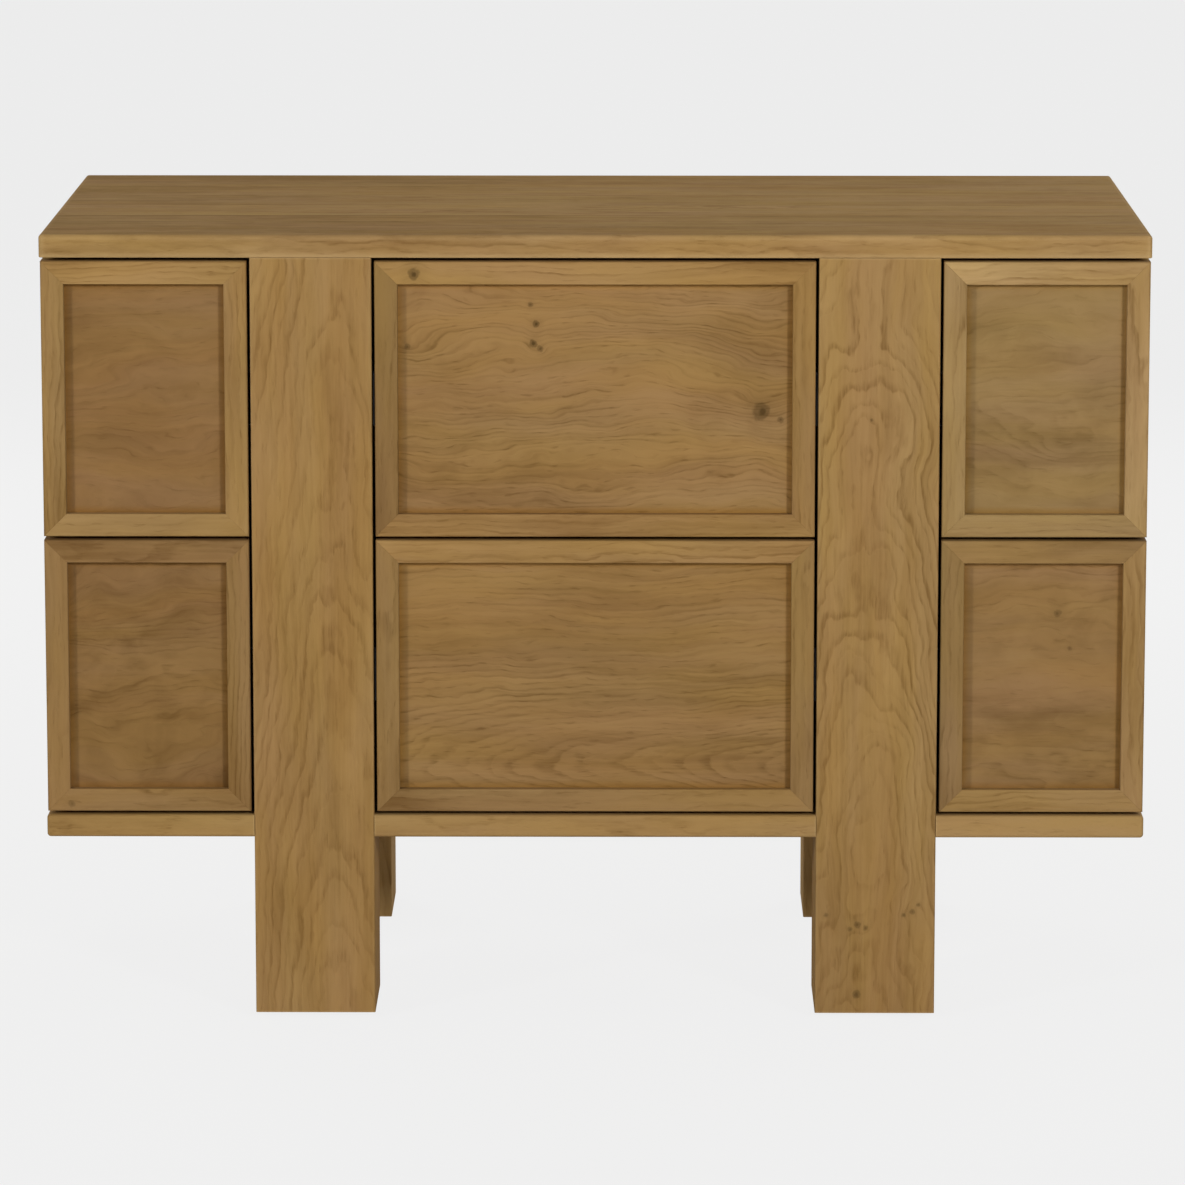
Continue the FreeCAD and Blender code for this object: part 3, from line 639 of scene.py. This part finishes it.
# Bay walls
# Four plain hardwood boards between the front and rear posts, dowelled to the bottom board and the top.
# They part the bays and carry the runners.
bay_walls = ("left_bay_wall", "centre_bay_left_wall", "centre_bay_right_wall", "right_bay_wall")
for number, wall in enumerate(bay_walls):
    wall_finish = wood_material(
        wall + "_wood",
        "ZYX",
        heart=(0.05 - 0.03 * number, 0.4),
        seed=31.0 + 2.3 * number,
        light=plain_light,
        dark=plain_dark,
        worn_and_highlit=0.0,
        Figure=0.22,
        Cloud=0.25,
    )
    dress(wall, wall_finish)

# Sides
# Two panels of oak staves glued edge to edge, with upright grain. They stand on the bottom board and are
# dowelled to it and to the top.
side_joints = (-0.118, -0.020, 0.071, 0.158)
for number, side in enumerate(("left_side_panel", "right_side_panel")):
    side_finish = wood_material(
        side + "_oak",
        "ZYX",
        heart=(0.0, 0.40 - 0.80 * number),
        seed=41.0 + 5.1 * number,
        light=oak_light,
        dark=oak_dark,
        joints=side_joints,
        Slope=0.05,
        Figure=0.28,
        Wander=0.016,
    )
    dress(side, side_finish)

# Backs
# Thin oak-faced plywood with upright grain, one sheet behind each bay, held in grooves of the posts, sides
# and slabs.
bays = ("left", "centre", "right")
ply_light = (0.36, 0.22, 0.088, 1)
ply_dark = (0.20, 0.112, 0.038, 1)
for number, bay in enumerate(bays):
    back_finish = wood_material(
        bay + "_back_ply",
        "ZXY",
        heart=(-0.36 + 0.37 * number, 0.26),
        seed=51.0 + 4.4 * number,
        light=ply_light,
        dark=ply_dark,
        worn_and_highlit=0.0,
        Slope=0.10,
        Figure=0.28,
        Wander=0.022,
        Ring=0.0062,
    )
    dress(bay + "_back_panel", back_finish)

# Dowels
# Beech pins, glued into blind holes. They join the sides and bay walls to both slabs, and the posts to the
# top, and are hidden once the case is put together.
dowel_finish = wood_material(
    "dowel_beech",
    "ZXY",
    heart=(0.3, 0.2),
    seed=61.0,
    light=plain_light,
    dark=plain_dark,
    worn_and_highlit=0.0,
    Figure=0.12,
)
dress("case_dowels", dowel_finish)

# Top
# Oak staves of uneven width glued edge to edge, with the grain along the length and softened edges that are
# painted paler, as wear and as a painted highlight. It lies on the posts, sides and bay walls, held by
# dowels.
top_joints = (-0.130, -0.086, -0.011, 0.066, 0.151)
top_finish = wood_material(
    "top_oak",
    "XYZ",
    heart=(0.0, 0.56),
    seed=77.0,
    light=slab_light,
    dark=slab_dark,
    joints=top_joints,
    worn_and_highlit=0.009,
    tone=0.12,
    Drift=-0.35,
    Slope=0.03,
    Figure=0.26,
    Wander=0.014,
    Streak=0.5,
    Cloud=1.2,
    Curl=0.7,
    Rub=0.75,
)
dress("top_slab", top_finish)

# Case runners and their screws
# Roll-formed steel channels with black zinc plate, a pair for each drawer. Pale zinc-plated screws hold them
# to the walls and sides of the bays.
roll_waves = (900, 14, 900)
bloom_waves = (90, 60, 90)
smear_waves = (40, 22, 40)
grease = (0.20, 0.19, 0.17, 1)
grease_share = 0.06
grease_span = (0.52, 0.70)
roll_shades = (0.3, 0.7, 0.9, 1.06)
bloom_shades = (0.3, 0.7, -0.06, 0.06)
plate_roughness = 0.24
grease_roughness = 0.15
roll_roughness = 0.16
zinc_group, given, made = shader_group(
    "zinc_plate", {"Place": (0, 0, 0), "Colour": (0.35, 0.36, 0.37, 1)}, look_outputs
)
rolled = noise(zinc_group, given["Place"], roll_waves, 0.0, detail=3.0)
bloom = noise(zinc_group, given["Place"], bloom_waves, 1.0, detail=3.0)
smear = ease(zinc_group, noise(zinc_group, given["Place"], smear_waves, 2.0, detail=2.0), *grease_span)
shade = ease(zinc_group, rolled, *roll_shades)
shade = plus(zinc_group, shade, ease(zinc_group, bloom, *bloom_shades))
plate = scaled(zinc_group, given["Colour"], shade)
plate = mixed(zinc_group, times(zinc_group, smear, grease_share), plate, grease)
matt = plus_share(zinc_group, plate_roughness, smear, grease_roughness)
matt = plus_share(zinc_group, matt, rolled, roll_roughness)
give(zinc_group, made, Colour=plate, Roughness=matt, Height=rolled)


def zinc_material(name, colour):
    """Zinc-plated steel with rolling lines along the runner and a little grease."""
    material, tree = blank_material(name)
    place = put(tree, "TexCoord").outputs["Object"]
    look = put(tree, "Group", {"Place": place, "Colour": colour}, node_tree=zinc_group).outputs
    finish_material(tree, look, Metallic=1.0)
    return material


case_zinc = zinc_material("case_runner_zinc", (0.030, 0.030, 0.032, 1))
for bay in bays:
    dress(bay + "_case_runners", case_zinc)
dress("runner_screws", zinc_material("screw_zinc", (0.44, 0.43, 0.40, 1)))

# Latches
# Push-to-open latches of moulded plastic: a grey housing fixed to the back behind each drawer, and a pale
# sprung plunger that the drawer presses.
drawers = [f"{bay}_{level}" for bay in bays for level in ("lower", "upper")]
dress("latch_housings", plastic_material("latch_grey", (0.085, 0.085, 0.09, 1), 0.45))
plunger_finish = plastic_material("plunger_pale", (0.52, 0.52, 0.50, 1), 0.38)
for label in drawers:
    dress(label + "_latch_plunger", plunger_finish)

# Moving runners
# The middle and drawer members of each runner: steel strip with punched slots, rolled into channels that nest
# in the case runner. Cross-head screws through the slots hold the drawer member to its box.
steel_gauge = 0.0012
bend_radius = 0.0018
bend_steps = 4
slot_width = 0.0052
slot_margin = 0.004
slot_steps = 8
middle_reach = 0.0073
drawer_reach = 0.0070
middle_slots = ((0.12, 0.030), (0.38, 0.018), (0.62, 0.018), (0.88, 0.030))
drawer_slots = ((0.08, 0.014), (0.32, 0.026), (0.58, 0.014), (0.88, 0.014))
screwed_slots = (0, 2)
head_rings = ((0.0033, 0.0), (0.0034, 0.0005), (0.0031, 0.0011), (0.0024, 0.0016))
head_steps = 16
recess_arm = 0.0017
recess_half_width = 0.0004
recess_depth = 0.0010


def made_object(name, shell):
    """An object with the mesh that shell holds, put in the scene."""
    mesh = bpy.data.meshes.new(name)
    shell.to_mesh(mesh)
    shell.free()
    made = bpy.data.objects.new(name, mesh)
    stage.collection.objects.link(made)
    return made


def rolled_channel(name, low, high, opens, slots):
    """Steel strip rolled into a channel along Y that fills the box from low to high, open to +X or -X. Slots
    gives the place of each slot along the web and its length, in metres."""
    web, tip = (low.x, high.x) if opens > 0 else (high.x, low.x)
    bottom = [(tip, low.z)]
    top = [(tip, high.z)]
    for step in range(bend_steps + 1):
        turn = math.pi / 2 * step / bend_steps
        across = web + opens * bend_radius * (1 - math.sin(turn))
        rise = bend_radius * (1 - math.cos(turn))
        bottom.append((across, low.z + rise))
        top.append((across, high.z - rise))
    stations = [low.y]
    for place, length in slots:
        stations += [place - length / 2 - slot_margin, place + length / 2 + slot_margin]
    stations.append(high.y)
    shell = bmesh.new()
    sides = []
    for profile in (bottom, top):
        rows = [[shell.verts.new((x, y, z)) for x, z in profile] for y in stations]
        sides.append(rows)
    for rows in sides:
        for row, after in zip(rows, rows[1:]):
            for n in range(len(row) - 1):
                shell.faces.new((row[n], row[n + 1], after[n + 1], after[n]))
    foot = [row[-1] for row in sides[0]]
    head = [row[-1] for row in sides[1]]
    centre = (low.z + high.z) / 2
    for number in range(len(stations) - 1):
        corners = [foot[number], foot[number + 1], head[number + 1], head[number]]
        if number % 2 == 0:
            shell.faces.new(corners)
            continue
        place, length = slots[number // 2]
        rounds = []
        for end in (1, -1):
            rim = []
            for step in range(slot_steps + 1):
                turn = math.pi * step / slot_steps - math.pi / 2
                along = place + end * (length / 2 - slot_width / 2 + slot_width / 2 * math.cos(turn))
                rim.append(shell.verts.new((web, along, centre + end * slot_width / 2 * math.sin(turn))))
            rounds.append(rim)
        far, close = rounds
        shell.faces.new((corners[0], corners[1], far[0], close[-1]))
        shell.faces.new((corners[1], corners[2], *reversed(far)))
        shell.faces.new((corners[2], corners[3], close[0], far[-1]))
        shell.faces.new((corners[3], corners[0], *reversed(close)))
    bmesh.ops.recalc_face_normals(shell, faces=shell.faces)
    flat = max(shell.faces, key=lambda face: abs(face.normal.x))
    if flat.normal.x * opens > 0:
        bmesh.ops.reverse_faces(shell, faces=shell.faces)
    made = made_object(name, shell)
    strip = made.modifiers.new("steel_gauge", "SOLIDIFY")
    strip.thickness = steel_gauge
    strip.offset = -1.0
    strip.use_even_offset = True
    return made


def turned(along, rise, turn):
    """A point turned about the origin."""
    return along * math.cos(turn) - rise * math.sin(turn), along * math.sin(turn) + rise * math.cos(turn)


def cross_screws(name, places):
    """Pan-head screws with cross recesses. Places holds the middle of each head's seat and the way it faces,
    +1 or -1 along X."""
    crown = head_rings[-1][1]
    arm = (
        (recess_arm, -recess_half_width),
        (recess_arm, recess_half_width),
        (recess_half_width, recess_half_width),
    )
    cross = [turned(*corner, math.pi / 2 * quarter) for quarter in range(4) for corner in arm]
    total = len(cross)
    step = head_steps // 4
    turns = [2 * math.pi * n / head_steps for n in range(head_steps)]
    levels = [(lift, [turned(radius, 0.0, turn) for turn in turns]) for radius, lift in head_rings]
    levels += [(crown, cross), (crown - recess_depth, cross)]
    shell = bmesh.new()
    for seat, faces_to in places:
        loops = []
        for lift, outline in levels:
            x = seat.x + faces_to * lift
            loops.append([shell.verts.new((x, seat.y + along, seat.z + rise)) for along, rise in outline])
        *rings, mouth, pit = loops
        shell.faces.new(rings[0])
        for ring, after in zip(rings, rings[1:]):
            for n in range(head_steps):
                m = (n + 1) % head_steps
                shell.faces.new((ring[n], ring[m], after[m], after[n]))
        rim = rings[-1]
        for quarter in range(4):
            arc = [rim[(quarter * step + n) % head_steps] for n in range(step + 1)]
            first = 3 * quarter
            shell.faces.new((*arc, mouth[(first + 3) % total], mouth[first + 2], mouth[first + 1]))
            shell.faces.new((arc[0], mouth[first + 1], mouth[first]))
        for n in range(total):
            m = (n + 1) % total
            shell.faces.new((mouth[n], mouth[m], pit[m], pit[n]))
        shell.faces.new(pit)
    bmesh.ops.recalc_face_normals(shell, faces=shell.faces)
    return made_object(name, shell)


slide_zinc = zinc_material("slide_runner_zinc", (0.036, 0.036, 0.038, 1))
drawer_screw_zinc = zinc_material("drawer_screw_zinc", (0.30, 0.29, 0.27, 1))
members = (("middle", middle_reach, middle_slots), ("drawer", drawer_reach, drawer_slots))
for label in drawers:
    screws = []
    for member, reach, marks in members:
        node = f"{label}_{member}_runners"
        low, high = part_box(node)
        slots = [(low.y + share * (high.y - low.y), length) for share, length in marks]
        for side, opens in (("left", 1), ("right", -1)):
            start = low.copy()
            end = high.copy()
            if side == "left":
                end.x = low.x + reach
            else:
                start.x = high.x - reach
            if member == "drawer":
                opens = -opens
                web = end.x if side == "left" else start.x
                for number in screwed_slots:
                    seat = Vector((web + opens * steel_gauge, slots[number][0], (low.z + high.z) / 2))
                    screws.append((seat, opens))
            piece = rolled_channel(f"{label}_{member}_runner_{side}", start, end, opens, slots)
            piece.data.materials.append(slide_zinc)
            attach(piece, f"{label}_{member}")
            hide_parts(node)
    heads = cross_screws(label + "_runner_screws", screws)
    heads.data.materials.append(drawer_screw_zinc)
    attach(heads, label + "_drawer")

# Drawer boxes
# Pale hardwood boxes: two sides, a front and a back with finger joints at the corners, and a thin plywood
# base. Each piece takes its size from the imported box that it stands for.
box_wall = 0.012
box_base = 0.006
box_base_lift = 0.010
finger_count = 7
box_edge = 0.0007
box_edge_steps = 2
sharp_angle = math.radians(40)
box_light = (0.62, 0.47, 0.285, 1)
box_dark = (0.42, 0.285, 0.15, 1)


def solid_from_outline(name, outline, axis, low, high):
    """A flat board: outline holds points in the other two axes, in the order of the frame, pulled from low to
    high."""
    kept = [n for n in range(3) if n != axis]
    shell = bmesh.new()
    rims = []
    for level in (low, high):
        rim = []
        for point in outline:
            corner = [0.0, 0.0, 0.0]
            corner[axis] = level
            corner[kept[0]], corner[kept[1]] = point
            rim.append(shell.verts.new(corner))
        rims.append(rim)
    for rim in rims:
        shell.faces.new(rim)
    total = len(outline)
    for n in range(total):
        m = (n + 1) % total
        shell.faces.new((rims[0][n], rims[0][m], rims[1][m], rims[1][n]))
    bmesh.ops.recalc_face_normals(shell, faces=shell.faces)
    return made_object(name, shell)


def soften(piece, width, segments):
    """Eases the edges of a board."""
    eased = piece.modifiers.new("eased_edges", "BEVEL")
    eased.width = width
    eased.segments = segments
    eased.limit_method = "ANGLE"
    eased.angle_limit = sharp_angle
    return eased


def fingered(length_low, length_high, rise_low, rise_high, deep, first):
    """The outline of a board with fingers at both ends. First says whether the lowest finger stands out."""
    step = (rise_high - rise_low) / finger_count
    ends = []
    for finger in range(finger_count):
        out = (finger % 2 == 0) == first
        for rise in (rise_low + finger * step, rise_low + (finger + 1) * step):
            ends.append((0.0 if out else deep, rise))
    far = [(length_high - inset, rise) for inset, rise in ends]
    close = [(length_low + inset, rise) for inset, rise in reversed(ends)]
    return far + close


for order, label in enumerate(drawers):
    node = label + "_drawer_box"
    low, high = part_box(node)
    middle = (low + high) / 2
    side_outline = fingered(low.y, high.y, low.z, high.z, box_wall, True)
    end_outline = fingered(low.x, high.x, low.z, high.z, box_wall, False)
    floor_low = low.z + box_base_lift
    floor_outline = [
        (low.x + box_wall, low.y + box_wall),
        (high.x - box_wall, low.y + box_wall),
        (high.x - box_wall, high.y - box_wall),
        (low.x + box_wall, high.y - box_wall),
    ]
    boards = (
        ("left_side", side_outline, 0, low.x, low.x + box_wall, "YZX"),
        ("right_side", side_outline, 0, high.x - box_wall, high.x, "YZX"),
        ("inner_front", end_outline, 1, low.y, low.y + box_wall, "XZY"),
        ("back", end_outline, 1, high.y - box_wall, high.y, "XZY"),
        ("base", floor_outline, 2, floor_low, floor_low + box_base, "XYZ"),
    )
    for number, (board, outline, axis, start, end, run) in enumerate(boards):
        piece = solid_from_outline(f"{label}_box_{board}", outline, axis, start, end)
        if board != "base":
            soften(piece, box_edge, box_edge_steps)
        across, through = ("XYZ".index(letter) for letter in run[1:])
        box_finish = wood_material(
            piece.name + "_wood",
            run,
            heart=(middle[across] + 0.04 * (number - 2), middle[through] + 0.09),
            seed=80.0 + 5.0 * order + number,
            light=box_light,
            dark=box_dark,
            worn_and_highlit=0.0,
            Figure=0.22,
            Cloud=0.25,
            Slope=0.03,
            Pores=0.12,
        )
        piece.data.materials.append(box_finish)
        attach(piece, label + "_drawer")
        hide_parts(node)

# Drawer front panels
# Flat oak panels with the grain across, let into the rebate behind each frame. Each sheet has its own figure,
# from wavy rings and knots to a soft cloudy curl.
panel_light = (0.340, 0.208, 0.085, 1)
panel_dark = (0.184, 0.103, 0.036, 1)
panel_spread = 0.05
panel_tones = {
    "left_lower": (0.755, 0.715, 0.700),
    "left_upper": (0.840, 0.805, 0.830),
    "centre_lower": (0.945, 0.935, 0.905),
    "centre_upper": (0.970, 0.960, 0.955),
    "right_lower": (0.860, 0.850, 0.885),
    "right_upper": (0.925, 0.990, 1.070),
}
panel_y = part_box("centre_upper_front_panel")[0].y
centre_upper_knots = (
    ((-0.0485, panel_y, 0.5857), 0.0030, 1.0),
    ((-0.0510, panel_y, 0.5691), 0.0034, 1.0),
    ((-0.0453, panel_y, 0.5650), 0.0028, 0.8),
    ((-0.0534, panel_y, 0.6014), 0.0022, 0.7),
    ((-0.1547, panel_y, 0.5666), 0.0026, 0.8),
    ((0.1375, panel_y, 0.5128), 0.0078, 1.0),
    ((0.1532, panel_y, 0.5062), 0.0028, 0.8),
)
right_lower_knots = (((0.3835, panel_y, 0.3440), 0.0036, 0.7), ((0.3938, panel_y, 0.3145), 0.0020, 0.6))
panel_knots = {"centre_upper": centre_upper_knots, "right_lower": right_lower_knots}
# Each panel's heart, seed, slope, wander, ripple and ring width.
panel_cuts = {
    "left_lower": ((0.30, -0.17), 141.9, 0.2, 0.080, 0.020, 0.0080),
    "left_upper": ((0.62, -0.15), 137.0, 0.06, 0.050, 0.012, 0.0075),
    "centre_lower": ((0.214, -0.208), 145.3, -0.2, 0.018, 0.005, 0.0050),
    "centre_upper": ((0.40, -0.19), 160.1, 0.04, 0.034, 0.011, 0.0040),
    "right_lower": ((0.25, -0.16), 138.2, 0.08, 0.050, 0.012, 0.0065),
    "right_upper": ((0.50, -0.14), 144.4, -0.2, 0.060, 0.015, 0.0080),
}
# How strongly the figure, streaks, clouds, curl and pores of each panel show.
panel_contrasts = {
    "left_lower": (0.18, 0.36, 1.6, 1.9, 0.18),
    "left_upper": (0.14, 0.42, 1.0, 0.7, 0.20),
    "centre_lower": (0.36, 0.88, 1.7, 0.3, 0.36),
    "centre_upper": (0.26, 0.80, 1.1, 0.8, 0.40),
    "right_lower": (0.26, 0.42, 1.8, 1.2, 0.20),
    "right_upper": (0.18, 0.38, 1.3, 1.0, 0.18),
}
frame_width = 0.019
for label, (heart, seed, slope, wander, ripple, ring) in panel_cuts.items():
    figure, streak, cloud, curl, pores = panel_contrasts[label]
    frame_low, frame_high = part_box(label + "_front_frame")
    margin = Vector((frame_width, 0.0, frame_width))
    panel_finish = wood_material(
        label + "_panel_oak",
        "XZY",
        heart=heart,
        seed=seed,
        light=toned(panel_light, *panel_tones[label]),
        dark=toned(panel_dark, *panel_tones[label]),
        knots=panel_knots.get(label, ()),
        # Painted shade along the inside of the frame.
        opening=(frame_low + margin, frame_high - margin),
        worn_and_highlit=0.0,
        Slope=slope,
        Spread=panel_spread,
        Wander=wander,
        Ripple=ripple,
        Ring=ring,
        Figure=figure,
        Streak=streak,
        Cloud=cloud,
        Curl=curl,
        Pores=pores,
    )
    dress(label + "_front_panel", panel_finish)

# Drawer front frames
# Four oak members round each panel, mitred at the corners and rebated behind for the panel, with softened
# edges. Grain runs along each member.
member_depth = 0.020
rebate_width = 0.007
rebate_start = 0.008
member_edge = 0.0016
member_edge_steps = 3
edge_shares = (1.0, 0.55, 0.2, 0.2, 0.2, 0.5)
mitre_share = 0.14
# Stiles are painted lighter towards the top and darker towards the bottom: a painted light gradient.
stile_light_gradient = -0.8
heart_play = 0.06
heart_depths = (0.02, 0.06)
seed_range = (200.0, 400.0)
tone_play = 0.06
slope_play = 0.05
chance = random.Random(17)
member_section = (
    (0.0, 0.0),
    (frame_width, 0.0),
    (frame_width, rebate_start),
    (frame_width - rebate_width, rebate_start),
    (frame_width - rebate_width, member_depth),
    (0.0, member_depth),
)
member_tones = {
    "left_upper": dict(top_rail=1.00, bottom_rail=0.975, left_stile=0.905, right_stile=0.94),
    "left_lower": dict(top_rail=0.78, bottom_rail=0.79, left_stile=0.77, right_stile=0.76),
    "centre_upper": dict(top_rail=0.945, bottom_rail=0.97, left_stile=0.70, right_stile=0.90),
    "centre_lower": dict(top_rail=0.99, bottom_rail=0.80, left_stile=0.79, right_stile=0.76),
    "right_upper": dict(top_rail=1.22, bottom_rail=0.91, left_stile=0.945, right_stile=1.07),
    "right_lower": dict(top_rail=0.85, bottom_rail=0.925, left_stile=0.715, right_stile=1.02),
}
frame_hues = {
    "left_upper": (1.00, 0.985, 1.00),
    "left_lower": (1.02, 0.97, 1.00),
    "centre_upper": (1.02, 0.975, 0.96),
    "centre_lower": (1.01, 0.985, 1.00),
    "right_upper": (1.00, 1.04, 1.15),
    "right_lower": (1.00, 1.00, 1.07),
}
member_knots = {
    "centre_upper_top_rail": (((-0.1486, face_y, 0.6278), 0.0052, 1.0),),
    "left_lower_bottom_rail": (((-0.436, face_y, 0.183), 0.0030, 0.6),),
}


def mitred_member(name, start, end, inward):
    """A frame member: start and end are the frame's outer corners at its front face, inward points to the
    panel."""
    run = (end - start).normalized()
    shell = bmesh.new()
    share = shell.edges.layers.float.new("bevel_weight_edge")
    rings = []
    for corner, turn in ((start, run), (end, -run)):
        ring = []
        for width, depth in member_section:
            ring.append(shell.verts.new(corner + turn * width + inward * width + Vector((0, depth, 0))))
        rings.append(ring)
    for ring in rings:
        shell.faces.new(ring)
    total = len(member_section)
    for n in range(total):
        m = (n + 1) % total
        shell.faces.new((rings[0][n], rings[0][m], rings[1][m], rings[1][n]))
    bmesh.ops.recalc_face_normals(shell, faces=shell.faces)
    for edge in shell.edges:
        edge[share] = mitre_share
    for n in range(total):
        shell.edges.get((rings[0][n], rings[1][n]))[share] = edge_shares[n]
    made = made_object(name, shell)
    soften(made, member_edge, member_edge_steps).limit_method = "WEIGHT"
    return made


for label in drawers:
    node = label + "_front_frame"
    low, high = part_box(node)
    front = low.y
    mid_rise = (low.z + high.z) / 2
    foot_left = Vector((low.x, front, low.z))
    foot_right = Vector((high.x, front, low.z))
    head_left = Vector((low.x, front, high.z))
    head_right = Vector((high.x, front, high.z))
    members = (
        ("top_rail", head_left, head_right, Vector((0, 0, -1)), "XZY"),
        ("bottom_rail", foot_right, foot_left, Vector((0, 0, 1)), "XZY"),
        ("left_stile", foot_left, head_left, Vector((1, 0, 0)), "ZXY"),
        ("right_stile", head_right, foot_right, Vector((-1, 0, 0)), "ZXY"),
    )
    for member, start, end, inward, run in members:
        piece = mitred_member(f"{label}_{member}", start, end, inward)
        shade = toned(frame_hues[label], member_tones[label][member])
        # Painted light gradient on the stiles only.
        painted_gradient = stile_light_gradient if run == "ZXY" else 0.0
        beside = (start.z if run == "XZY" else start.x) + chance.uniform(-heart_play, heart_play)
        member_finish = wood_material(
            piece.name + "_oak",
            run,
            heart=(beside, front + chance.uniform(*heart_depths)),
            seed=chance.uniform(*seed_range),
            light=toned(oak_light, *shade),
            dark=toned(oak_dark, *shade),
            knots=member_knots.get(piece.name, ()),
            worn_and_highlit=0.0,
            tone=chance.uniform(-tone_play, tone_play) - painted_gradient * mid_rise,
            Drift=painted_gradient,
            Slope=chance.uniform(-slope_play, slope_play),
            Wander=0.012,
            Figure=0.34,
            Cloud=2.0,
            Streak=0.7,
        )
        piece.data.materials.append(member_finish)
        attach(piece, label + "_drawer")
        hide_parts(node)
